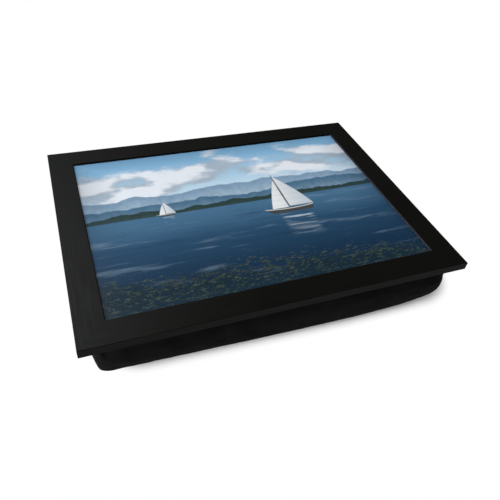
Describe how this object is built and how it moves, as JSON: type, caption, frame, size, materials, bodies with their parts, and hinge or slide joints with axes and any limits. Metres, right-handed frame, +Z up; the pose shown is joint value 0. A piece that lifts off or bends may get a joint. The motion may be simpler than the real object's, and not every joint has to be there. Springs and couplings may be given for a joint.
{
  "type": "lap tray with cushion",
  "caption": "Lap tray: a wide mitred frame round a recessed picture panel, held by hook-and-loop tape on a bead-filled cushion whose cover opens with a zip.",
  "frame": {"origin": "on the floor, under the middle of the tray's outline", "axes": "+X to the right along the long side, +Y to the back, where the zip is, +Z up"},
  "size_m": [0.44, 0.33, 0.074],
  "materials": {
    "black_film_board": "satin",
    "hardboard": "matte",
    "print": "satin",
    "clear_sheet": "gloss",
    "bright_steel": "satin",
    "hook_tape": "matte",
    "loop_tape": "matte",
    "cover_cloth": "matte",
    "liner_cloth": "matte",
    "beads": "matte",
    "zip_cloth": "matte",
    "zip_plastic": "satin",
    "zip_metal": "satin"
  },
  "bodies": {
    "cushion": {"cover_base": "cover_cloth", "cover_top": "cover_cloth", "side_band_front": "cover_cloth", "side_band_left": "cover_cloth", "side_band_right": "cover_cloth", "back_band_upper": "cover_cloth", "back_band_lower": "cover_cloth", "zip_end_tab_left": "cover_cloth", "zip_end_tab_right": "cover_cloth", "liner_base": "liner_cloth", "liner_top": "liner_cloth", "bead_filling": "beads", "loop_strip_front": "loop_tape", "loop_strip_back": "loop_tape", "loop_strip_left": "loop_tape", "loop_strip_right": "loop_tape", "zip_tape_upper": "zip_cloth", "zip_tape_lower": "zip_cloth", "zip_teeth_upper": "zip_plastic", "zip_teeth_lower": "zip_plastic", "zip_stops": "zip_metal"},
    "tray": {"front_rail": "black_film_board", "right_rail": "black_film_board", "back_rail": "black_film_board", "left_rail": "black_film_board", "corner_v_nails": "bright_steel", "framing_points": "bright_steel", "base_board": "hardboard", "picture_board": "hardboard", "picture_sheet": "print", "clear_cover": "clear_sheet", "hook_strip_front": "hook_tape", "hook_strip_back": "hook_tape", "hook_strip_left": "hook_tape", "hook_strip_right": "hook_tape"},
    "slider": {"zip_slider": "zip_metal"},
    "pull": {"zip_pull": "zip_metal"}
  },
  "joints": [
    {"name": "tray_lift", "type": "slide", "parent": "cushion", "child": "tray", "axis": [0, 0, 1], "range_m": [0, 0.06]},
    {"name": "zip_run", "type": "slide", "parent": "cushion", "child": "slider", "axis": [-1, 0, 0], "range_m": [0, 0.302]},
    {"name": "pull_flip", "type": "hinge", "parent": "slider", "child": "pull", "pos_m": [0.15125, 0.15545, 0.0333], "axis": [0, 0, -1], "range_deg": [0, 175]}
  ]
}
